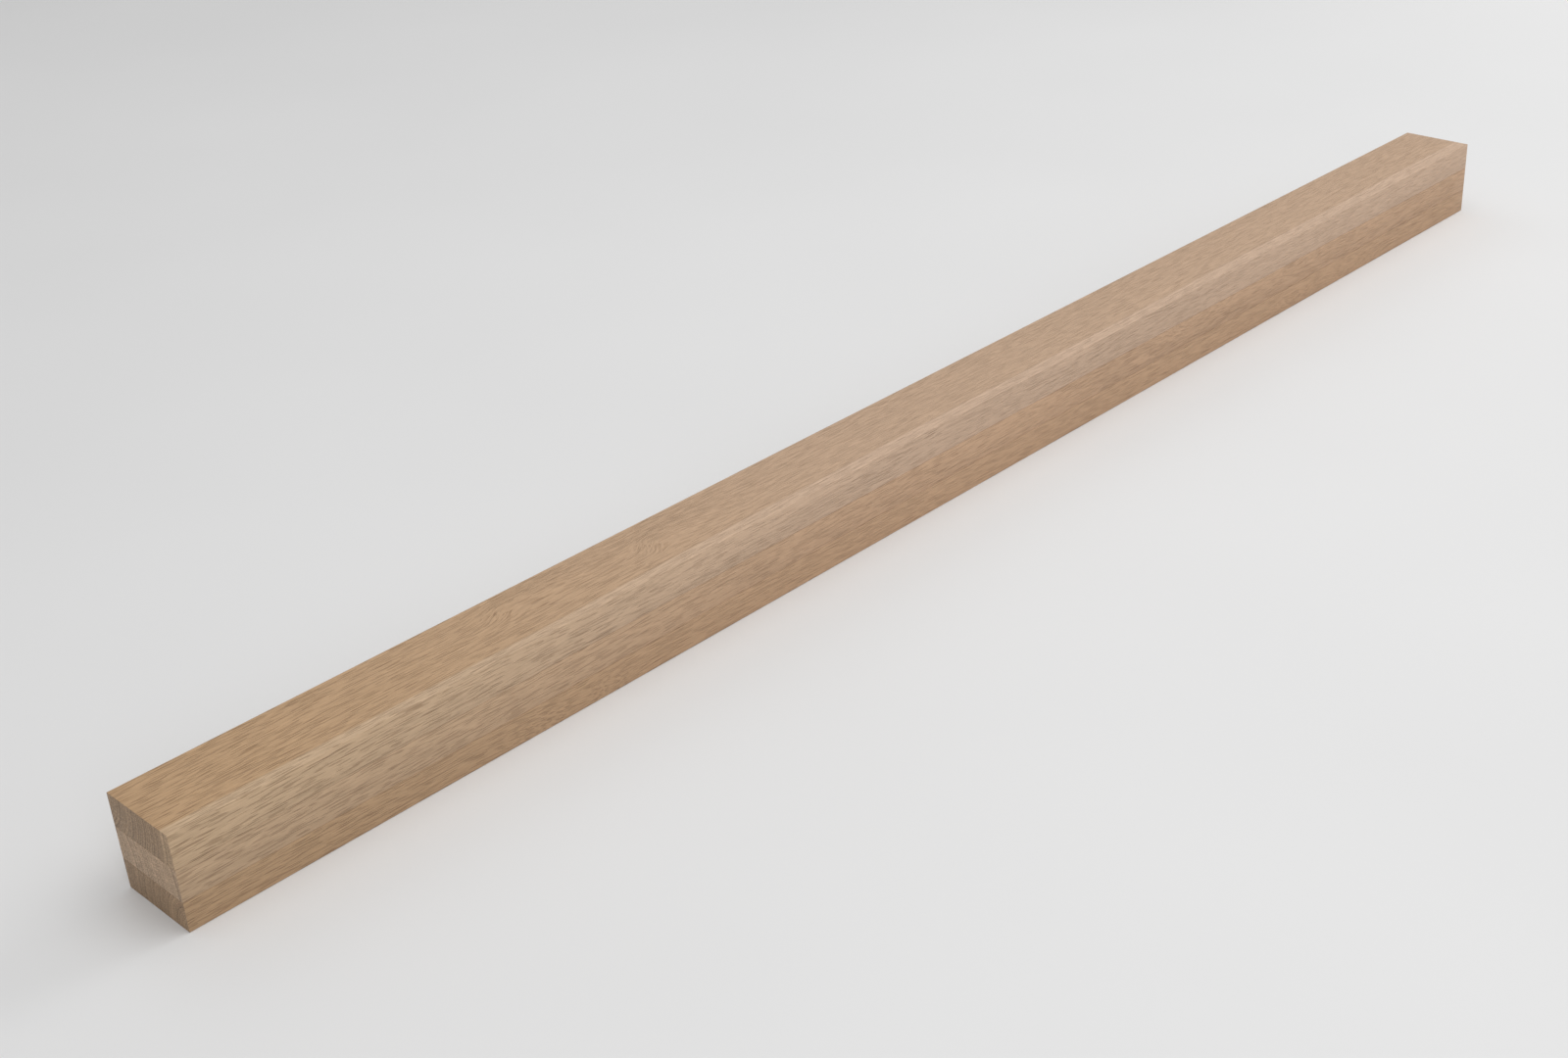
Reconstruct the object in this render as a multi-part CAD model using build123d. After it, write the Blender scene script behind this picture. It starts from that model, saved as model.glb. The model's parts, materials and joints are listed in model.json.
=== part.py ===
"""A door threshold strip: a straight laminated oak section, glued up from three full-length lamellas.

The strip lies flat as it would on the floor of a doorway. X runs along it, Y across it from front to back,
and Z is up. The origin is the middle of the underside. All sizes are in millimetres.

From the floor up the pieces are the bottom lamella, the lower glue line, the middle lamella, the upper glue
line and the top lamella. The strip was planed to width after gluing, so every piece is flush at the front and
back, and the four long outer edges of the section are eased. It was then sawn square to length.
"""

from build123d import *

import os

# Driving dimensions.
STRIP_LENGTH = 1600.0  # sawn length, from end to end
STRIP_WIDTH = 72.0  # front to back, the depth of a common door frame
BOTTOM_LAMELLA_THICKNESS = 23.3
MIDDLE_LAMELLA_THICKNESS = 25.0
TOP_LAMELLA_THICKNESS = 26.5
GLUE_LINE_THICKNESS = 0.1  # cured adhesive film between two lamellas
ARRIS_RADIUS = 0.5  # round on each long outer edge, as sanded by hand

ARRIS_LIMIT = 0.45  # most that an arris may take of the width or of its lamella's thickness

# From the floor up: node name, thickness and the outer face that carries the eased edges, if it has one.
STACK = (
    ("bottom_lamella", BOTTOM_LAMELLA_THICKNESS, "under"),
    ("lower_glue_line", GLUE_LINE_THICKNESS, None),
    ("middle_lamella", MIDDLE_LAMELLA_THICKNESS, None),
    ("upper_glue_line", GLUE_LINE_THICKNESS, None),
    ("top_lamella", TOP_LAMELLA_THICKNESS, "over"),
)


def arris_on(thickness: float) -> float:
    """The arris radius, held to what a lamella of this thickness and width can take."""
    return min(ARRIS_RADIUS, ARRIS_LIMIT * thickness, ARRIS_LIMIT * STRIP_WIDTH)


def flat_layer(floor_z: float, thickness: float) -> Solid:
    """One full-length, full-width layer with square edges, its underside at floor_z."""
    layer = Box(STRIP_LENGTH, STRIP_WIDTH, thickness, align=(Align.CENTER, Align.CENTER, Align.MIN))
    return Pos(0, 0, floor_z) * layer


def ease_long_edges(layer: Solid, outer_face: str, radius: float) -> Solid:
    """Rounds the two long edges of the layer's outer face, which are outer edges of the whole section."""
    levels = layer.edges().filter_by(Axis.X).group_by(Axis.Z)
    outer_edges = levels[0] if outer_face == "under" else levels[-1]
    return fillet(outer_edges, radius)


def glued_stack() -> dict:
    """Every piece of the strip by node name, each lying on the one below it."""
    pieces = {}
    floor_z = 0.0
    for name, thickness, outer_face in STACK:
        piece = flat_layer(floor_z, thickness)
        if outer_face:
            piece = ease_long_edges(piece, outer_face, arris_on(thickness))
        pieces[name] = piece
        floor_z += thickness
    return pieces


def main() -> None:
    os.makedirs("parts", exist_ok=True)
    for name, piece in glued_stack().items():
        export_step(piece, f"parts/{name}.step")


main()
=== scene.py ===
"""Looks of the oak threshold strip: three glued lamellas of bare planed oak on a pale studio floor.

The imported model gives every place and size. Each lamella and each glue film is modelled again with real
eased edges, sawn ends and fine joint grooves, and takes the place of its plain CAD node. Each lamella is
a cut through a model of a growing oak, so its rings and pores run on from face to face.
"""

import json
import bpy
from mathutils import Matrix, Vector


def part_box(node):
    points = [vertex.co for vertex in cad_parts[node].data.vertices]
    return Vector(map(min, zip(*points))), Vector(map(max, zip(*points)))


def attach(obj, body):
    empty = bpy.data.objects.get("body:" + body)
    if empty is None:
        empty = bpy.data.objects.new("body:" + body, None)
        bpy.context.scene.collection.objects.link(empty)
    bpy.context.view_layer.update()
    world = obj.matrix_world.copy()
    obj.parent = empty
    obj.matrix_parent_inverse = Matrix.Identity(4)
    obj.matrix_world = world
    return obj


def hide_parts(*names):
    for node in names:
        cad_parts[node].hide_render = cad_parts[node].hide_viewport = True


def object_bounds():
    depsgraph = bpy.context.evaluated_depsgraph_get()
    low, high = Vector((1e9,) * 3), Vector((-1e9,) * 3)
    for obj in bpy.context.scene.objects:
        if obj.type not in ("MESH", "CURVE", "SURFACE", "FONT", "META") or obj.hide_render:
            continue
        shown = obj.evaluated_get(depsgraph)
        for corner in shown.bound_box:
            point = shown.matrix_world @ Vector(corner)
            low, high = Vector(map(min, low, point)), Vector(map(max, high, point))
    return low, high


bl_info = {
    "name": "Oak threshold strip",
    "version": (1, 0, 0),
    "blender": (4, 5, 0),
    "location": "View3D > Sidebar > Threshold",
    "description": "Models and finishes a laminated oak threshold strip and its studio",
    "category": "Object",
}

from math import radians
from typing import NamedTuple

import bmesh
import bpy
from bpy.props import FloatProperty, FloatVectorProperty, PointerProperty
from bpy.types import Operator, Panel, PropertyGroup
from mathutils import Matrix, Vector

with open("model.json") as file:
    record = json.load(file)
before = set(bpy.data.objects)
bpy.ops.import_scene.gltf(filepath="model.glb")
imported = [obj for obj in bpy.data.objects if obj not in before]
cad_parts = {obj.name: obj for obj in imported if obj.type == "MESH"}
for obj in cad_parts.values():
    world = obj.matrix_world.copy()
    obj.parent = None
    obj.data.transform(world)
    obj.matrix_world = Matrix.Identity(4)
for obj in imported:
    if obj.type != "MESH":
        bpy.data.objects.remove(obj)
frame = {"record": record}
CAD_LOW, CAD_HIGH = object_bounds()

MM = 0.001
NEAR_END = CAD_LOW.x / MM
FRONT_FACE = CAD_LOW.y / MM
BACK_FACE = CAD_HIGH.y / MM
TOP_FACE = CAD_HIGH.z / MM
TOUCH = 0.01 * MM  # two places nearer than this are the same place

TOP_LAMELLA = "top_lamella"
MIDDLE_LAMELLA = "middle_lamella"
BOTTOM_LAMELLA = "bottom_lamella"
GLUE_LINES = ("upper_glue_line", "lower_glue_line")


def linear_colour(hex_colour):
    """An sRGB hex colour as linear red, green, blue."""
    channels = [int(hex_colour[start:start + 2], 16) / 255 for start in (1, 3, 5)]
    return [c / 12.92 if c <= 0.04045 else ((c + 0.055) / 1.055) ** 2.4 for c in channels]


# --------------------------------------------------------------------------------------------------
# Settings that a user would change


def colour_setting(name, description, hex_colour):
    """A colour that a user may change, which starts from an sRGB hex value."""
    return FloatVectorProperty(
        name=name,
        description=description,
        default=linear_colour(hex_colour),
        subtype="COLOR",
        size=3,
        min=0,
        max=1,
    )


def length_setting(name, description, millimetres):
    """A length that a user may change, which starts from a number of millimetres."""
    return FloatProperty(
        name=name,
        description=description,
        default=millimetres * MM,
        min=0,
        unit="LENGTH",
        precision=5,
    )


class EdgeSettings(PropertyGroup):
    arris: length_setting("Arris radius", "Round on the two long upper edges, from a sanding block", 0.5)
    foot: length_setting("Foot radius", "Round on the two long edges that meet the floor", 1.0)
    joint_groove: length_setting("Joint groove", "Round on a lamella's edges beside a glue film", 0.25)
    sawn_edge: length_setting("Sawn edge", "Fuzz worn off the edge all round a sawn end", 0.18)
    glue_setback: length_setting("Glue setback", "How far a shrunk glue film lies inside the faces", 0.6)
    glue_bead: length_setting("Glue bead", "Round on the edges of a glue film", 0.03)


class TopOakSettings(PropertyGroup):
    near: colour_setting("Left end", "Heartwood colour at the left end", "#BA9873")
    far: colour_setting("Right end", "Heartwood colour at the right end", "#BFA186")
    pale: colour_setting("Pale rings, left end", "Pale outer rings at the left end", "#C4A888")
    pale_far: colour_setting("Pale rings, right end", "Pale outer rings at the right end", "#CAAD94")
    pore: colour_setting("Pores", "Colour down inside the open pores", "#6A4A2E")
    ring_width: length_setting("Ring width", "Mean thickness of one year's growth", 2.6)
    sawn: colour_setting("Sawn ends", "Sawn end grain, which drinks in the light", "#A58B70")


class MiddleOakSettings(PropertyGroup):
    near: colour_setting("Left end", "Heartwood colour at the left end", "#BA9E80")
    far: colour_setting("Right end", "Heartwood colour at the right end", "#C19F81")
    pore: colour_setting("Pores", "Colour down inside the open pores", "#674A33")
    ring_width: length_setting("Ring width", "Mean thickness of one year's growth", 2.2)
    sawn: colour_setting("Sawn ends", "Sawn end grain, which drinks in the light", "#BCA186")


class BottomOakSettings(PropertyGroup):
    near: colour_setting("Left end", "Heartwood colour at the left end", "#B19271")
    far: colour_setting("Right end", "Heartwood colour at the right end", "#BD9B7C")
    pore: colour_setting("Pores", "Colour down inside the open pores", "#5E412B")
    ring_width: length_setting("Ring width", "Mean thickness of one year's growth", 1.9)
    sawn: colour_setting("Sawn ends", "Sawn end grain, which drinks in the light", "#A2876B")


class GlueSettings(PropertyGroup):
    thick: colour_setting("Thick glue", "Colour where the film is thickest", "#6E5235")
    thin: colour_setting("Thin glue", "Colour where the film is thinnest", "#8E6F49")


class StudioSettings(PropertyGroup):
    floor: colour_setting("Floor", "Colour of the pale paper floor", "#E4E4E4")
    fill: FloatProperty(
        name="Fill",
        description="Strength of the even light all round",
        default=0.45,
        min=0,
    )
    softboxes: FloatProperty(
        name="Softboxes",
        description="Power of all the softboxes together",
        default=98,
        min=0,
        unit="POWER",
    )


SETTINGS = {
    "strip_edges": EdgeSettings,
    "top_oak": TopOakSettings,
    "middle_oak": MiddleOakSettings,
    "bottom_oak": BottomOakSettings,
    "strip_glue": GlueSettings,
    "strip_studio": StudioSettings,
}


# --------------------------------------------------------------------------------------------------
# The oak trees that the lamellas were cut from. Places are in millimetres in the strip's own frame.


class Swirl(NamedTuple):
    """A place where the rings bulge round a hidden knot, which draws nested arches on a face."""

    place: tuple  # middle of the bulge
    left_reach: float  # how far it reaches along the strip to the left
    right_reach: float  # the same to the right
    across_reach: float  # how far it reaches across the strip and in depth
    lift: float  # how far it pushes the rings away from the pith


class Tree(NamedTuple):
    """How one lamella lay in its tree."""

    pith: tuple  # where the pith passes the middle of the strip's length: across and up
    lean: tuple  # how far the pith moves across and up per millimetre along the strip
    pale_ring: float | None  # distance from the pith at which pale outer rings begin, if it has any
    seed: float  # its place in the noise, which no other tree shares
    open_left: float  # how open its rows of pores are at the left end
    open_right: float  # the same from just left of the middle to the right end
    swirls: tuple


TREES = {
    TOP_LAMELLA: Tree(
        pith=(BACK_FACE + 16, TOP_FACE - 2),
        lean=(0.004, 0.0),
        pale_ring=78.5,
        seed=3.0,
        open_left=1.25,
        open_right=0.4,
        swirls=(
            Swirl((NEAR_END + 312, BACK_FACE - 20, TOP_FACE), 22, 95, 13, 13.0),
            Swirl((NEAR_END + 446, BACK_FACE - 30, TOP_FACE), 16, 60, 15, 14.0),
        ),
    ),
    MIDDLE_LAMELLA: Tree(
        pith=(BACK_FACE + 60, 28.0),
        lean=(0.012, 0.006),
        pale_ring=None,
        seed=11.0,
        open_left=1.1,
        open_right=0.55,
        swirls=(
            Swirl((NEAR_END + 1085, FRONT_FACE, 46.0), 40, 60, 12, 7.0),
            Swirl((NEAR_END + 1330, FRONT_FACE, 40.0), 90, 90, 10, 5.0),
        ),
    ),
    BOTTOM_LAMELLA: Tree(
        pith=(-47.5, -6.0),
        lean=(-0.006, -0.010),
        pale_ring=None,
        seed=23.0,
        open_left=1.0,
        open_right=0.55,
        swirls=(
            Swirl((NEAR_END + 325, FRONT_FACE, 4.0), 45, 38, 14, 11.0),
            Swirl((NEAR_END + 1265, FRONT_FACE, 8.0), 26, 26, 6, 8.0),
            Swirl((NEAR_END + 1370, FRONT_FACE, 6.0), 35, 35, 12, 8.0),
        ),
    ),
}

# Sizes in oak, in millimetres. Real pores are 0.2 to 0.4 across, rays 0.2 thick and fibres far finer.
# All are drawn coarser here, because real ones would vanish in a view of the whole strip.
WANDER_LENGTH = 420.0  # length over which a trunk's pith wanders
WANDER = 3.0  # how far it wanders to each side
WAVE_LENGTH = 240.0  # length along the trunk of the broad waves in its rings
WAVE_ACROSS = 42.0  # and their width
WAVE_PUSH = 4.0  # and how far they push the rings at most
PORE_LENGTH = 30.0
PORE_SPACING = 0.9
STREAK_LENGTH = 16.0  # length of a row of pores that the plane has opened
STREAK_SPACING = 0.95
FIBRE_LENGTH = 12.0
FIBRE_THICKNESS = 0.6
RAY_HEIGHT = 22.0  # along the trunk
RAY_DEPTH = 16.0  # outwards from the pith
RAY_THICKNESS = 0.7

# How oak grows.
GOOD_YEARS = 0.45  # how fast good and lean years take turns, in waves to a ring
YEAR_DRIFT = 1.6  # how many rings the good and lean years can add to the count
EARLYWOOD_FADE = (0.04, 0.5)  # where in a year's ring the earlywood starts to fade, and is gone
PORE_SCATTER = 0.85  # 0 for pores in a grid, 1 for pores at random
PORE_RIM = 0.42  # distance from the middle of a pore to its rim, in spacings
PORE_HOLLOW = 0.20  # the same to where it is fully open
LATEWOOD_OPENNESS = 0.6  # how far a pore opens in latewood, next to one in earlywood
STREAK_EDGE = (0.57, 0.67)  # noise level where a row of pores begins, and where it is fully open
RAY_EDGE = (0.60, 0.72)  # the same for a ray
PATCH_SCALE = 1.9  # how many mottled patches there are to a broad wave


def add_node(tree, kind, inputs=(), **settings):
    """Adds one node with its settings. Each input takes a value, or the output of another node."""
    node = tree.nodes.new(kind)
    for name, value in settings.items():
        setattr(node, name, value)
    for name, value in dict(inputs).items():
        if isinstance(value, bpy.types.NodeSocket):
            tree.links.new(value, node.inputs[name])
        else:
            node.inputs[name].default_value = value
    return node


class Grain(NamedTuple):
    """Sockets that say what the wood is at each point."""

    along: bpy.types.NodeSocket  # millimetres along the strip
    radius: bpy.types.NodeSocket  # millimetres from the pith, as the rings run
    earlywood: bpy.types.NodeSocket  # 1 in the porous wood of spring, 0 in the dense wood of summer
    year: bpy.types.NodeSocket  # one random number for each ring
    pore: bpy.types.NodeSocket  # 1 inside an open pore
    streak: bpy.types.NodeSocket  # 1 along a row of pores that the plane has opened into a dash
    fibre: bpy.types.NodeSocket  # smooth noise drawn out along the grain
    ray: bpy.types.NodeSocket  # 1 in a ray
    patch: bpy.types.NodeSocket  # smooth noise of broad mottled patches


def grow_oak(tree, position, oak, ring_width, middle):
    """Adds the nodes that grow an oak round its pith. They say what it is at a position in metres."""
    toward = Vector((0, middle.y / MM - oak.pith[0], middle.z / MM - oak.pith[1]))
    toward.normalize()
    sideways = Vector((0, -toward.z, toward.y))
    # Unlike steps along the three axes keep one tree's noise from repeating another's.
    seed = Vector((oak.seed, oak.seed * 1.7, oak.seed * 2.3))

    place = add_node(
        tree, "ShaderNodeVectorMath", {0: position, "Scale": 1 / MM}, operation="SCALE"
    ).outputs[0]
    along = add_node(tree, "ShaderNodeSeparateXYZ", {0: place}).outputs["X"]

    # The pith leans and wanders along the trunk.
    slow = add_node(
        tree,
        "ShaderNodeVectorMath",
        {0: place, 1: (1 / WANDER_LENGTH, 0, 0), 2: seed},
        operation="MULTIPLY_ADD",
    )
    wander = add_node(
        tree, "ShaderNodeTexNoise", {"Vector": slow.outputs[0], "Scale": 1.0, "Detail": 1.0}
    )
    lean = add_node(
        tree, "ShaderNodeVectorMath", {0: (0, *oak.lean), "Scale": along}, operation="SCALE"
    )
    leaning = add_node(
        tree,
        "ShaderNodeVectorMath",
        {0: wander.outputs["Color"], 1: (0, 2 * WANDER, 2 * WANDER), 2: lean.outputs[0]},
        operation="MULTIPLY_ADD",
    )
    straightened = add_node(
        tree, "ShaderNodeVectorMath", {0: place, 1: leaning.outputs[0]}, operation="SUBTRACT"
    )
    from_pith = add_node(
        tree,
        "ShaderNodeVectorMath",
        {0: straightened.outputs[0], 1: (0, 1, 1), 2: (0, WANDER - oak.pith[0], WANDER - oak.pith[1])},
        operation="MULTIPLY_ADD",
    ).outputs[0]
    true_radius = add_node(
        tree, "ShaderNodeVectorMath", {0: from_pith}, operation="LENGTH"
    ).outputs["Value"]
    ahead = add_node(tree, "ShaderNodeVectorMath", {0: from_pith, 1: toward}, operation="DOT_PRODUCT")
    aside = add_node(tree, "ShaderNodeVectorMath", {0: from_pith, 1: sideways}, operation="DOT_PRODUCT")
    turn = add_node(
        tree,
        "ShaderNodeMath",
        {0: aside.outputs["Value"], 1: ahead.outputs["Value"]},
        operation="ARCTAN2",
    )
    true_round = add_node(
        tree, "ShaderNodeMath", {0: turn.outputs[0], 1: true_radius}, operation="MULTIPLY"
    )

    # Broad waves and swirls push the rings in and out.
    broad = add_node(
        tree,
        "ShaderNodeVectorMath",
        {0: place, 1: (1 / WAVE_LENGTH, 1 / WAVE_ACROSS, 1 / WAVE_ACROSS), 2: seed},
        operation="MULTIPLY_ADD",
    )
    waves = add_node(
        tree,
        "ShaderNodeTexNoise",
        {"Vector": broad.outputs[0], "Scale": 1.0, "Detail": 3.0, "Roughness": 0.42},
    )
    push = add_node(tree, "ShaderNodeSeparateXYZ", {0: waves.outputs["Color"]})
    radius = add_node(
        tree,
        "ShaderNodeMath",
        {0: push.outputs["X"], 1: WAVE_PUSH, 2: true_radius},
        operation="MULTIPLY_ADD",
    ).outputs[0]
    round_pith = add_node(
        tree,
        "ShaderNodeMath",
        {0: push.outputs["Y"], 1: WAVE_PUSH, 2: true_round.outputs[0]},
        operation="MULTIPLY_ADD",
    ).outputs[0]
    for swirl in oak.swirls:
        offset = add_node(
            tree, "ShaderNodeVectorMath", {0: place, 1: swirl.place}, operation="SUBTRACT"
        ).outputs[0]
        leftward = add_node(
            tree,
            "ShaderNodeVectorMath",
            {0: offset, 1: (-1 / swirl.left_reach, 1 / swirl.across_reach, 1 / swirl.across_reach)},
            operation="MULTIPLY",
        )
        rightward = add_node(
            tree,
            "ShaderNodeVectorMath",
            {0: offset, 1: (1 / swirl.right_reach, 1 / swirl.across_reach, 1 / swirl.across_reach)},
            operation="MULTIPLY",
        )
        reach = add_node(
            tree,
            "ShaderNodeVectorMath",
            {0: leftward.outputs[0], 1: rightward.outputs[0]},
            operation="MAXIMUM",
        ).outputs[0]
        squared = add_node(
            tree, "ShaderNodeVectorMath", {0: reach, 1: reach}, operation="DOT_PRODUCT"
        )
        fading = add_node(
            tree, "ShaderNodeMath", {0: squared.outputs["Value"], 1: -1.0}, operation="MULTIPLY"
        )
        bulge = add_node(tree, "ShaderNodeMath", {0: fading.outputs[0]}, operation="EXPONENT")
        radius = add_node(
            tree,
            "ShaderNodeMath",
            {0: bulge.outputs[0], 1: swirl.lift, 2: radius},
            operation="MULTIPLY_ADD",
        ).outputs[0]

    # Years: the ring count, made uneven, so that good and lean years differ.
    count = add_node(
        tree, "ShaderNodeMath", {0: radius, 1: ring_width / MM}, operation="DIVIDE"
    ).outputs[0]
    good_years = add_node(
        tree,
        "ShaderNodeTexNoise",
        {"W": count, "Scale": GOOD_YEARS, "Detail": 0.0},
        noise_dimensions="1D",
    )
    uneven = add_node(
        tree,
        "ShaderNodeMath",
        {0: good_years.outputs["Fac"], 1: YEAR_DRIFT, 2: count},
        operation="MULTIPLY_ADD",
    ).outputs[0]
    season = add_node(tree, "ShaderNodeMath", {0: uneven}, operation="FRACT").outputs[0]
    ring = add_node(tree, "ShaderNodeMath", {0: uneven, 1: oak.seed}, operation="FLOOR").outputs[0]
    year = add_node(tree, "ShaderNodeTexWhiteNoise", {"W": ring}, noise_dimensions="1D").outputs["Value"]
    earlywood = add_node(
        tree,
        "ShaderNodeMapRange",
        {
            "Value": season,
            "From Min": EARLYWOOD_FADE[0],
            "From Max": EARLYWOOD_FADE[1],
            "To Min": 1.0,
            "To Max": 0.0,
        },
    ).outputs[0]

    # Pores are long cells that follow the rings, and open wider in the earlywood than in the latewood.
    ring_place = add_node(
        tree, "ShaderNodeCombineXYZ", {"X": along, "Y": radius, "Z": round_pith}
    ).outputs[0]
    cells = add_node(
        tree,
        "ShaderNodeVectorMath",
        {0: ring_place, 1: (1 / PORE_LENGTH, 1 / PORE_SPACING, 1 / PORE_SPACING)},
        operation="MULTIPLY",
    )
    vessels = add_node(
        tree,
        "ShaderNodeTexVoronoi",
        {"Vector": cells.outputs[0], "Scale": 1.0, "Randomness": PORE_SCATTER},
    )
    openness = add_node(
        tree, "ShaderNodeMapRange", {"Value": earlywood, "To Min": LATEWOOD_OPENNESS, "To Max": 1.0}
    )
    pore = add_node(
        tree,
        "ShaderNodeMapRange",
        {
            "Value": vessels.outputs["Distance"],
            "From Min": PORE_RIM,
            "From Max": PORE_HOLLOW,
            "To Max": openness.outputs[0],
        },
        interpolation_type="SMOOTHSTEP",
    ).outputs[0]

    # Here and there the plane has opened a row of pores into a dash along the grain.
    rows = add_node(
        tree,
        "ShaderNodeVectorMath",
        {0: ring_place, 1: (1 / STREAK_LENGTH, 1 / STREAK_SPACING, 1 / STREAK_SPACING), 2: seed},
        operation="MULTIPLY_ADD",
    )
    row_noise = add_node(
        tree, "ShaderNodeTexNoise", {"Vector": rows.outputs[0], "Scale": 1.0, "Detail": 0.0}
    )
    streak = add_node(
        tree,
        "ShaderNodeMapRange",
        {"Value": row_noise.outputs["Fac"], "From Min": STREAK_EDGE[0], "From Max": STREAK_EDGE[1]},
        interpolation_type="SMOOTHSTEP",
    ).outputs[0]

    # Fibres run along the grain, rays run out from the pith, and broad patches mottle both.
    fine = add_node(
        tree,
        "ShaderNodeVectorMath",
        {0: ring_place, 1: (1 / FIBRE_LENGTH, 1 / FIBRE_THICKNESS, 1 / FIBRE_THICKNESS), 2: seed},
        operation="MULTIPLY_ADD",
    )
    fibre = add_node(
        tree,
        "ShaderNodeTexNoise",
        {"Vector": fine.outputs[0], "Scale": 1.0, "Detail": 1.0, "Roughness": 0.5},
    ).outputs["Fac"]
    ribbons = add_node(
        tree,
        "ShaderNodeVectorMath",
        {0: ring_place, 1: (1 / RAY_HEIGHT, 1 / RAY_DEPTH, 1 / RAY_THICKNESS), 2: seed},
        operation="MULTIPLY_ADD",
    )
    ray_noise = add_node(
        tree, "ShaderNodeTexNoise", {"Vector": ribbons.outputs[0], "Scale": 1.0, "Detail": 0.0}
    )
    ray = add_node(
        tree,
        "ShaderNodeMapRange",
        {"Value": ray_noise.outputs["Fac"], "From Min": RAY_EDGE[0], "From Max": RAY_EDGE[1]},
        interpolation_type="SMOOTHSTEP",
    ).outputs[0]
    patch = add_node(
        tree,
        "ShaderNodeTexNoise",
        {"Vector": broad.outputs[0], "Scale": PATCH_SCALE, "Detail": 2.0},
    ).outputs["Fac"]
    return Grain(along, radius, earlywood, year, pore, streak, fibre, ray, patch)


# --------------------------------------------------------------------------------------------------
# Materials


def new_material(name):
    """A material with an empty node tree, its surface shader and the output that it feeds."""
    material = bpy.data.materials.new(name)
    material.use_nodes = True
    material.node_tree.nodes.clear()
    surface = add_node(material.node_tree, "ShaderNodeBsdfPrincipled")
    add_node(material.node_tree, "ShaderNodeOutputMaterial", {"Surface": surface.outputs["BSDF"]})
    return material, surface


DRIFT_END = NEAR_END * 0.1  # the heartwood has changed colour by here, just left of the middle
END_TURN = (0.5, 0.9)  # how squarely a face points along the strip where end grain begins, and is whole

# How strongly each part of the wood changes its brightness, on the planed faces and on the sawn ends.
CONTRASTS = {
    "year": (0.02, 0.25),
    "earlywood": (-0.06, -0.40),
    "fibre": (0.40, 1.60),
    "ray": (0.04, 0.20),
    "patch": (0.02, 0.15),
}
# The mean of each over the wood, at which it leaves the brightness as it is.
MEANS = {"year": 0.5, "earlywood": 0.27, "fibre": 0.5, "ray": 0.06, "patch": 0.5}
PORE_STRENGTH = 0.3  # how far the brown of a single pore covers the wood
STREAK_STRENGTH = 0.30  # the same for a row of pores whose openness is 1
PORE_PATCHES = (0.2, 0.6)  # patch level where single pores begin to show, and show fully
PALE_BLUR = 1.0  # millimetres to each side over which the pale outer rings begin
PALE_ON_END = 0.45  # how far the pale outer rings keep their colour on a sawn end
BOUNDARY_SHADE = 0.10  # how much darker the last ring before the pale outer ones is

# Relief of the planed wood in millimetres. Fibres stand up, and the others are sunk.
PORE_DEPTH = 0.12
STREAK_DEPTH = 0.20
EARLYWOOD_DEPTH = 0.04
FIBRE_HEIGHT = 0.10

PLANED_ROUGHNESS = 0.58  # fine-sanded bare wood
PORE_ROUGHNESS = 0.8
WOOD_IOR = 1.5  # that of cellulose
WOOD_SPECULAR = 0.35


def add_pale_rings(tree, oak, settings, grain, share, end_grain, wood, shade):
    """Adds the pale outer rings to a lamella's colour, and a dark one before them to its brightness."""
    band = add_node(
        tree,
        "ShaderNodeMix",
        {"Factor": share.outputs[0], 6: (*settings.pale, 1), 7: (*settings.pale_far, 1)},
        data_type="RGBA",
    )
    outer = add_node(
        tree,
        "ShaderNodeMapRange",
        {
            "Value": grain.radius,
            "From Min": oak.pale_ring - PALE_BLUR,
            "From Max": oak.pale_ring + PALE_BLUR,
        },
    ).outputs[0]
    paleness = add_node(
        tree, "ShaderNodeMapRange", {"Value": end_grain, "To Min": 1.0, "To Max": PALE_ON_END}
    )
    blend = add_node(
        tree, "ShaderNodeMath", {0: outer, 1: paleness.outputs[0]}, operation="MULTIPLY"
    )
    paler = add_node(
        tree,
        "ShaderNodeMix",
        {"Factor": blend.outputs[0], 6: wood, 7: band.outputs[2]},
        data_type="RGBA",
    ).outputs[2]

    # The shares of inner and outer rings, multiplied, reach a quarter where the pale rings begin.
    inner = add_node(tree, "ShaderNodeMath", {0: 1.0, 1: outer}, operation="SUBTRACT").outputs[0]
    boundary = add_node(
        tree, "ShaderNodeMath", {0: inner, 1: outer}, operation="MULTIPLY"
    ).outputs[0]
    darker = add_node(
        tree,
        "ShaderNodeMath",
        {0: boundary, 1: -4 * BOUNDARY_SHADE, 2: shade},
        operation="MULTIPLY_ADD",
    ).outputs[0]
    return paler, darker


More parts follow.
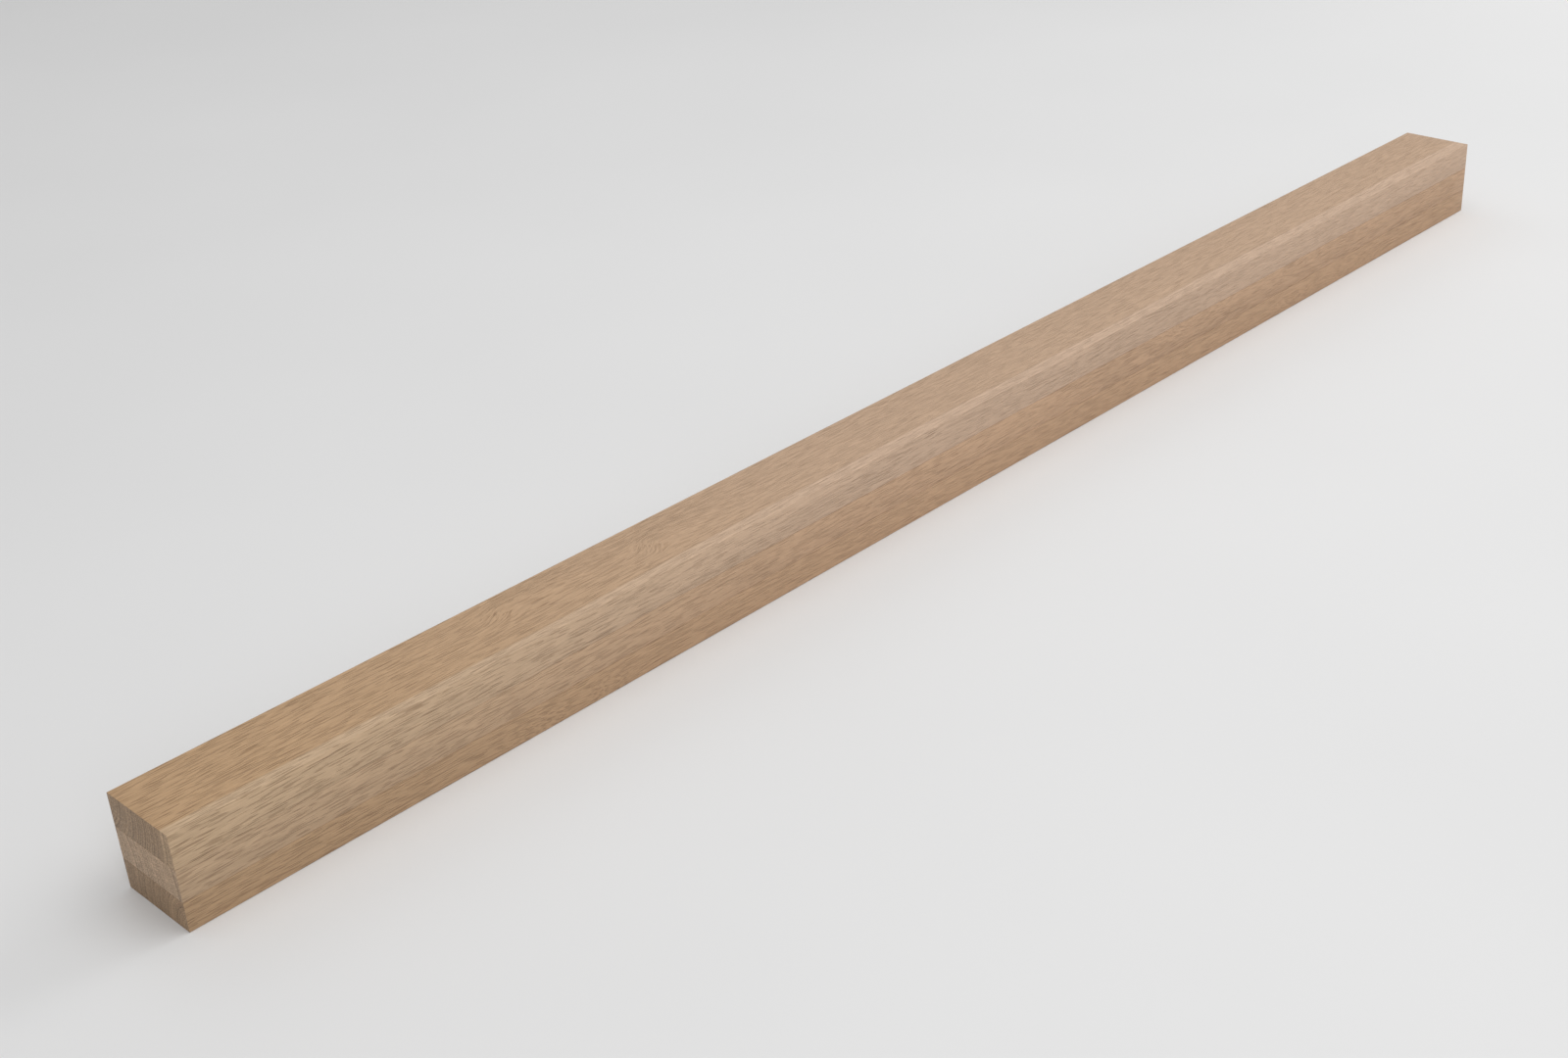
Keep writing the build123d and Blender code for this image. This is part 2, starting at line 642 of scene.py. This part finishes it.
def bare_oak(name, oak, settings, low, high):
    """Bare European oak, planed and fine-sanded: silky and almost matt, with dark open pores.

    The sawn ends are end grain, whose cut fibres drink in the light, so its rings show more strongly.
    """
    material, surface = new_material(name)
    tree = material.node_tree
    position = add_node(tree, "ShaderNodeTexCoord")
    grain = grow_oak(tree, position.outputs["Object"], oak, settings.ring_width, (low + high) / 2)

    # Heartwood drifts from one colour to another along the strip, and turns to end grain on a sawn end.
    share = add_node(
        tree,
        "ShaderNodeMapRange",
        {"Value": grain.along, "From Min": NEAR_END, "From Max": DRIFT_END},
        interpolation_type="SMOOTHSTEP",
    )
    heart = add_node(
        tree,
        "ShaderNodeMix",
        {"Factor": share.outputs[0], 6: (*settings.near, 1), 7: (*settings.far, 1)},
        data_type="RGBA",
    )
    facing = add_node(tree, "ShaderNodeSeparateXYZ", {0: position.outputs["Normal"]}).outputs["X"]
    facing_end = add_node(tree, "ShaderNodeMath", {0: facing}, operation="ABSOLUTE").outputs[0]
    end_grain = add_node(
        tree,
        "ShaderNodeMapRange",
        {"Value": facing_end, "From Min": END_TURN[0], "From Max": END_TURN[1]},
    ).outputs[0]
    wood = add_node(
        tree,
        "ShaderNodeMix",
        {"Factor": end_grain, 6: heart.outputs[2], 7: (*settings.sawn, 1)},
        data_type="RGBA",
    ).outputs[2]

    # Brightness, as a sum of small changes about 1.
    shade = add_node(
        tree,
        "ShaderNodeMapRange",
        {
            "Value": end_grain,
            "To Min": 1 - sum(MEANS[part] * on_face for part, (on_face, on_end) in CONTRASTS.items()),
            "To Max": 1 - sum(MEANS[part] * on_end for part, (on_face, on_end) in CONTRASTS.items()),
        },
    ).outputs[0]
    for part, (on_face, on_end) in CONTRASTS.items():
        contrast = add_node(
            tree, "ShaderNodeMapRange", {"Value": end_grain, "To Min": on_face, "To Max": on_end}
        )
        shade = add_node(
            tree,
            "ShaderNodeMath",
            {0: getattr(grain, part), 1: contrast.outputs[0], 2: shade},
            operation="MULTIPLY_ADD",
        ).outputs[0]
    if oak.pale_ring is not None:
        wood, shade = add_pale_rings(tree, oak, settings, grain, share, end_grain, wood, shade)
    shaded = add_node(
        tree, "ShaderNodeVectorMath", {0: wood, "Scale": shade}, operation="SCALE"
    ).outputs[0]

    # The brown of open pores, singly and in rows, lies over it.
    open_pores = add_node(
        tree,
        "ShaderNodeMapRange",
        {
            "Value": grain.patch,
            "From Min": PORE_PATCHES[0],
            "From Max": PORE_PATCHES[1],
            "To Max": PORE_STRENGTH,
        },
    )
    open_rows = add_node(
        tree,
        "ShaderNodeMapRange",
        {
            "Value": share.outputs[0],
            "To Min": oak.open_left * STREAK_STRENGTH,
            "To Max": oak.open_right * STREAK_STRENGTH,
        },
    )
    single = add_node(
        tree, "ShaderNodeMath", {0: grain.pore, 1: open_pores.outputs[0]}, operation="MULTIPLY"
    )
    pore_cover = add_node(
        tree,
        "ShaderNodeMath",
        {0: grain.streak, 1: open_rows.outputs[0], 2: single.outputs[0]},
        operation="MULTIPLY_ADD",
        use_clamp=True,
    ).outputs[0]
    colour = add_node(
        tree,
        "ShaderNodeMix",
        {"Factor": pore_cover, 6: shaded, 7: (*settings.pore, 1)},
        data_type="RGBA",
    )
    tree.links.new(colour.outputs[2], surface.inputs["Base Color"])

    roughness = add_node(
        tree,
        "ShaderNodeMapRange",
        {"Value": grain.pore, "To Min": PLANED_ROUGHNESS, "To Max": PORE_ROUGHNESS},
    )
    tree.links.new(roughness.outputs[0], surface.inputs["Roughness"])
    surface.inputs["IOR"].default_value = WOOD_IOR
    surface.inputs["Specular IOR Level"].default_value = WOOD_SPECULAR

    height = add_node(
        tree, "ShaderNodeMath", {0: grain.fibre, 1: FIBRE_HEIGHT, 2: 0.0}, operation="MULTIPLY_ADD"
    ).outputs[0]
    for part, depth in (
        (grain.pore, PORE_DEPTH),
        (grain.streak, STREAK_DEPTH),
        (grain.earlywood, EARLYWOOD_DEPTH),
    ):
        height = add_node(
            tree, "ShaderNodeMath", {0: part, 1: -depth, 2: height}, operation="MULTIPLY_ADD"
        ).outputs[0]
    relief = add_node(tree, "ShaderNodeBump", {"Height": height, "Strength": 1.0, "Distance": MM})
    tree.links.new(relief.outputs["Normal"], surface.inputs["Normal"])
    return material


GLUE_BEADS = 90.0  # beads to a metre, in which the film is thicker and thinner
GLUE_ROUGHNESS = (0.35, 0.55)
GLUE_IOR = 1.48  # about that of cured vinyl glue


def cured_glue(settings):
    """White wood glue, squeezed thin and cured to clear amber: a smooth, slightly glossy dark line."""
    material, surface = new_material("cured_wood_glue")
    tree = material.node_tree
    position = add_node(tree, "ShaderNodeTexCoord")
    beads = add_node(
        tree,
        "ShaderNodeTexNoise",
        {"Vector": position.outputs["Object"], "Scale": GLUE_BEADS, "Detail": 2.0},
    ).outputs["Fac"]
    tint = add_node(
        tree,
        "ShaderNodeMix",
        {"Factor": beads, 6: (*settings.thick, 1), 7: (*settings.thin, 1)},
        data_type="RGBA",
    )
    tree.links.new(tint.outputs[2], surface.inputs["Base Color"])
    gloss = add_node(
        tree,
        "ShaderNodeMapRange",
        {"Value": beads, "To Min": GLUE_ROUGHNESS[0], "To Max": GLUE_ROUGHNESS[1]},
    )
    tree.links.new(gloss.outputs[0], surface.inputs["Roughness"])
    surface.inputs["IOR"].default_value = GLUE_IOR
    return material


# Faint waves of painted light and shade in the floor's colour, as rolled paper would show them.
PAPER_SHADE_WAVES = 2.0  # waves to a metre
PAPER_SHADE_LEVELS = (0.97, 1.03)  # brightness of the darkest and the lightest wave
PAPER_ROUGHNESS = 0.9
PAPER_SPECULAR = 0.2


def paper_floor(colour):
    """Matt pale background paper: no gloss, and broad faint waves of painted light and shade, like those
    on paper that has been rolled.
    """
    material, surface = new_material("matt_background_paper")
    tree = material.node_tree
    position = add_node(tree, "ShaderNodeTexCoord")
    waves = add_node(
        tree,
        "ShaderNodeTexNoise",
        {"Vector": position.outputs["Object"], "Scale": PAPER_SHADE_WAVES, "Detail": 2.0},
    )
    # Painted light and shade: the floor's colour is made a little lighter and darker in broad waves.
    level = add_node(
        tree,
        "ShaderNodeMapRange",
        {"Value": waves.outputs["Fac"], "To Min": PAPER_SHADE_LEVELS[0], "To Max": PAPER_SHADE_LEVELS[1]},
    )
    tint = add_node(
        tree, "ShaderNodeVectorMath", {0: colour, "Scale": level.outputs[0]}, operation="SCALE"
    )
    tree.links.new(tint.outputs[0], surface.inputs["Base Color"])
    surface.inputs["Roughness"].default_value = PAPER_ROUGHNESS
    surface.inputs["Specular IOR Level"].default_value = PAPER_SPECULAR
    return material


# --------------------------------------------------------------------------------------------------
# Modelling

ARRIS_SEGMENTS = 5
SMALL_SEGMENTS = 2  # in the rounds too small to see one by one
ROUND_SIZE = 2 * MM  # an edge shorter than this belongs to a round
SMOOTH_ANGLE = radians(40)
LENGTH_CUTS = 79  # they divide the strip into 80 equal lengths
ROW_LENGTHS = 27  # how many of those an unfolded row holds
ROW_GAP = 3 * MM
HIDDEN_SHARE = 0.25  # a face inside a joint gets this much of its height in the unfolded map


def select_nothing():
    """Leaves edit mode and deselects everything, because operators act on all that is selected."""
    if bpy.context.object and bpy.context.object.mode != "OBJECT":
        bpy.ops.object.mode_set(mode="OBJECT")
    bpy.ops.object.select_all(action="DESELECT")


def add_block(name, low, high):
    """Adds a block between two corners, with its place in its mesh, and opens it in edit mode."""
    select_nothing()
    bpy.ops.mesh.primitive_cube_add(size=1, location=(low + high) / 2, scale=high - low)
    block = bpy.context.object
    block.name = name
    block.data.name = name
    bpy.ops.object.transform_apply(location=True, rotation=True, scale=True)
    bpy.ops.object.mode_set(mode="EDIT")
    bpy.ops.mesh.select_mode(type="EDGE")
    return block


def select_edges(block, wanted):
    """Selects the edges whose two ends pass the test, and nothing else."""
    bpy.ops.mesh.select_all(action="DESELECT")
    shape = bmesh.from_edit_mesh(block.data)
    for edge in shape.edges:
        edge.select = wanted(*(vertex.co for vertex in edge.verts))
    shape.select_flush_mode()
    bmesh.update_edit_mesh(block.data)


def runs_along(start, end):
    """Whether an edge runs straight along the strip."""
    return abs(start.y - end.y) < TOUCH and abs(start.z - end.z) < TOUCH


def round_long_edges(block, level, radius, segments):
    """Rounds the two long edges of a block at one height."""
    select_edges(block, lambda a, b: runs_along(a, b) and abs(a.z - level) < TOUCH)
    bpy.ops.mesh.bevel(offset=radius, segments=segments, affect="EDGES")


def break_end_edges(block, low, high, width):
    """Breaks the edge all round both sawn ends."""
    select_edges(
        block,
        lambda a, b: abs(a.x - b.x) < TOUCH
        and min(abs(a.x - low.x), abs(a.x - high.x)) < TOUCH,
    )
    bpy.ops.mesh.bevel(offset=width, segments=SMALL_SEGMENTS, affect="EDGES")


def divide_length(block):
    """Divides every edge that runs along the strip and isn't part of a round at its ends."""
    select_edges(block, lambda a, b: runs_along(a, b) and (a - b).length > ROUND_SIZE)
    bpy.ops.mesh.subdivide(number_cuts=LENGTH_CUTS)


def finish_piece(piece, node, material):
    """Closes edit mode, smooths the rounds, adds the material, hangs the piece on the strip's body, and
    hides the CAD node it takes the place of.
    """
    bpy.ops.mesh.select_all(action="SELECT")
    bpy.ops.mesh.normals_make_consistent(inside=False)
    bpy.ops.object.mode_set(mode="OBJECT")
    bpy.ops.object.shade_smooth_by_angle(angle=SMOOTH_ANGLE)
    piece.data.materials.clear()
    piece.data.materials.append(material)
    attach(piece, "root")
    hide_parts(node)


def unfold(piece, low, high):
    """Unfolds a lamella into stacked rows a third of its length, so that baked maps stay sharp."""
    row_length = (high.x - low.x) / (LENGTH_CUTS + 1) * ROW_LENGTHS
    islands = {}
    for face in piece.data.polygons:
        axis = max(range(3), key=lambda i: abs(face.normal[i]))
        row = int((face.center.x - low.x) / row_length) if axis else 0
        islands.setdefault((axis, face.normal[axis] > 0, row), []).append(face)
    unfolded = piece.data.uv_layers.new(name="OFBake").uv
    level = ROW_GAP
    for (axis, is_upper, row), faces in sorted(islands.items()):
        along, across, start = (0, 3 - axis, low.x + row * row_length) if axis else (1, 2, low.y)
        plane = high[axis] if is_upper else low[axis]
        is_outside = min(abs(plane - CAD_LOW[axis]), abs(plane - CAD_HIGH[axis])) < TOUCH
        share = 1.0 if is_outside else HIDDEN_SHARE
        for face in faces:
            for corner in face.loop_indices:
                at = piece.data.vertices[piece.data.loops[corner].vertex_index].co
                right = at[along] - start + ROW_GAP
                unfolded[corner].vector = (right, level + (at[across] - low[across]) * share)
        level += (high[across] - low[across]) * share + ROW_GAP
    for corner in unfolded:
        corner.vector = (corner.vector[0] / (row_length + 2 * ROW_GAP), corner.vector[1] / level)


def slot_of(node):
    """The record's material slot of a node."""
    parts = frame["record"]["subparts"]
    return next(part["material_slot"] for part in parts if part["node"] == node)


def make_lamella(context, node, name):
    """Models one lamella from its block: rounds outside, grooves by the glue, worn edges on the ends."""
    edges = context.scene.strip_edges
    slot = slot_of(node)
    low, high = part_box(node)
    block = add_block(name, low, high)
    for level in (low.z, high.z):
        if abs(level - CAD_HIGH.z) < TOUCH:
            round_long_edges(block, level, edges.arris, ARRIS_SEGMENTS)
        elif abs(level - CAD_LOW.z) < TOUCH:
            round_long_edges(block, level, edges.foot, ARRIS_SEGMENTS)
        else:
            round_long_edges(block, level, edges.joint_groove, SMALL_SEGMENTS)
    break_end_edges(block, low, high, edges.sawn_edge)
    divide_length(block)
    material = bare_oak(f"planed_oak_{slot}", TREES[node], getattr(context.scene, slot), low, high)
    finish_piece(block, node, material)
    unfold(block, low, high)


# --------------------------------------------------------------------------------------------------
# Pieces, a button for each


class STRIP_OT_top_lamella(Operator):
    """Models the top lamella, with the strip's two upper arrises"""

    bl_idname = "strip.top_lamella"
    bl_label = "Top lamella"

    def execute(self, context):
        make_lamella(context, TOP_LAMELLA, "oak_top_lamella")
        return {"FINISHED"}


class STRIP_OT_middle_lamella(Operator):
    """Models the middle lamella, glued on both sides"""

    bl_idname = "strip.middle_lamella"
    bl_label = "Middle lamella"

    def execute(self, context):
        make_lamella(context, MIDDLE_LAMELLA, "oak_middle_lamella")
        return {"FINISHED"}


class STRIP_OT_bottom_lamella(Operator):
    """Models the bottom lamella, with the rounds on its two floor edges"""

    bl_idname = "strip.bottom_lamella"
    bl_label = "Bottom lamella"

    def execute(self, context):
        make_lamella(context, BOTTOM_LAMELLA, "oak_bottom_lamella")
        return {"FINISHED"}


class STRIP_OT_glue_films(Operator):
    """Models the two cured glue films, set a little inside the planed faces, with beaded edges"""

    bl_idname = "strip.glue_films"
    bl_label = "Glue films"

    def execute(self, context):
        edges = context.scene.strip_edges
        inset = Vector((edges.glue_setback, edges.glue_setback, 0))
        material = cured_glue(context.scene.strip_glue)
        for node in GLUE_LINES:
            low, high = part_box(node)
            low += inset
            high -= inset
            film = add_block(f"{node}_film", low, high)
            for level in (low.z, high.z):
                round_long_edges(film, level, edges.glue_bead, SMALL_SEGMENTS)
            break_end_edges(film, low, high, edges.glue_bead)
            divide_length(film)
            finish_piece(film, node, material)
        return {"FINISHED"}


# --------------------------------------------------------------------------------------------------
# Studio

# The camera stands to the left and in front of the strip, and looks down along it. Metres and degrees.
CAMERA_PLACE = Vector((-1.2527, -1.0608, 0.8270))
CAMERA_HEADING = 44.093
CAMERA_DOWN = 28.346
CAMERA_ROLL = 3.707
CAMERA_LENS = 48.25  # millimetres
CAMERA_CLIP = 0.05  # nothing nearer than this is drawn

FLOOR_SIDE = 14.0
# Each softbox has its place, its size and its share of the power. All point at the floor under the
# middle of the strip.
SOFTBOXES = (
    ("overhead_softbox", (0.0, -0.3, 3.0), 3.0, 0.19),
    ("front_overhead_softbox", (0.6, -1.4, 2.8), 2.6, 0.19),
    ("right_softbox", (3.2, -0.6, 1.6), 2.0, 0.34),
    ("front_left_softbox", (-1.8, -2.2, 1.8), 2.0, 0.20),
    ("back_softbox", (0.3, 2.6, 2.2), 2.0, 0.08),
)


class STRIP_OT_studio(Operator):
    """Lays the pale floor, hangs the lights and sets up the camera"""

    bl_idname = "strip.studio"
    bl_label = "Studio"

    def execute(self, context):
        studio = context.scene.strip_studio
        select_nothing()
        bpy.ops.mesh.primitive_plane_add(size=FLOOR_SIDE, location=(0, 0, CAD_LOW.z))
        floor = context.object
        floor.name = "paper_floor"
        floor.data.materials.append(paper_floor(studio.floor))

        world = bpy.data.worlds.new("even_studio_light")
        world.use_nodes = True
        background = world.node_tree.nodes["Background"]
        background.inputs["Color"].default_value = (1, 1, 1, 1)
        background.inputs["Strength"].default_value = studio.fill
        context.scene.world = world

        for name, place, size, share in SOFTBOXES:
            bpy.ops.object.light_add(type="AREA", location=place)
            softbox = context.object
            softbox.name = name
            softbox.data.shape = "DISK"
            softbox.data.size = size
            softbox.data.energy = studio.softboxes * share
            softbox.rotation_euler = (-Vector(place)).to_track_quat("-Z", "Y").to_euler()

        bpy.ops.object.camera_add()
        camera = context.object
        camera.matrix_world = (
            Matrix.Translation(CAMERA_PLACE)
            @ Matrix.Rotation(radians(-CAMERA_HEADING), 4, "Z")
            @ Matrix.Rotation(radians(90 - CAMERA_DOWN), 4, "X")
            @ Matrix.Rotation(radians(-CAMERA_ROLL), 4, "Z")
        )
        camera.data.lens = CAMERA_LENS
        camera.data.clip_start = CAMERA_CLIP
        context.scene.camera = camera
        context.scene.view_settings.view_transform = "Standard"
        return {"FINISHED"}


# --------------------------------------------------------------------------------------------------
# Panel and registration


class STRIP_PT_panel(Panel):
    """Settings of the threshold strip, and a button for each of its pieces"""

    bl_idname = "STRIP_PT_panel"
    bl_label = "Threshold strip"
    bl_space_type = "VIEW_3D"
    bl_region_type = "UI"
    bl_category = "Threshold"

    def draw(self, context):
        for group, settings in SETTINGS.items():
            box = self.layout.box()
            for name in settings.__annotations__:
                box.prop(getattr(context.scene, group), name)
        for operator in OPERATORS:
            self.layout.operator(operator.bl_idname)


OPERATORS = (
    STRIP_OT_studio,
    STRIP_OT_top_lamella,
    STRIP_OT_middle_lamella,
    STRIP_OT_bottom_lamella,
    STRIP_OT_glue_films,
)


def register():
    for group, settings in SETTINGS.items():
        bpy.utils.register_class(settings)
        setattr(bpy.types.Scene, group, PointerProperty(type=settings))
    for operator in OPERATORS:
        bpy.utils.register_class(operator)
    bpy.utils.register_class(STRIP_PT_panel)


def unregister():
    bpy.utils.unregister_class(STRIP_PT_panel)
    for operator in reversed(OPERATORS):
        bpy.utils.unregister_class(operator)
    for group, settings in SETTINGS.items():
        delattr(bpy.types.Scene, group)
        bpy.utils.unregister_class(settings)


def main():
    """Makes the studio and every piece."""
    register()
    bpy.ops.strip.studio()
    bpy.ops.strip.top_lamella()
    bpy.ops.strip.middle_lamella()
    bpy.ops.strip.bottom_lamella()
    bpy.ops.strip.glue_films()


if __name__ == "__main__":
    main()
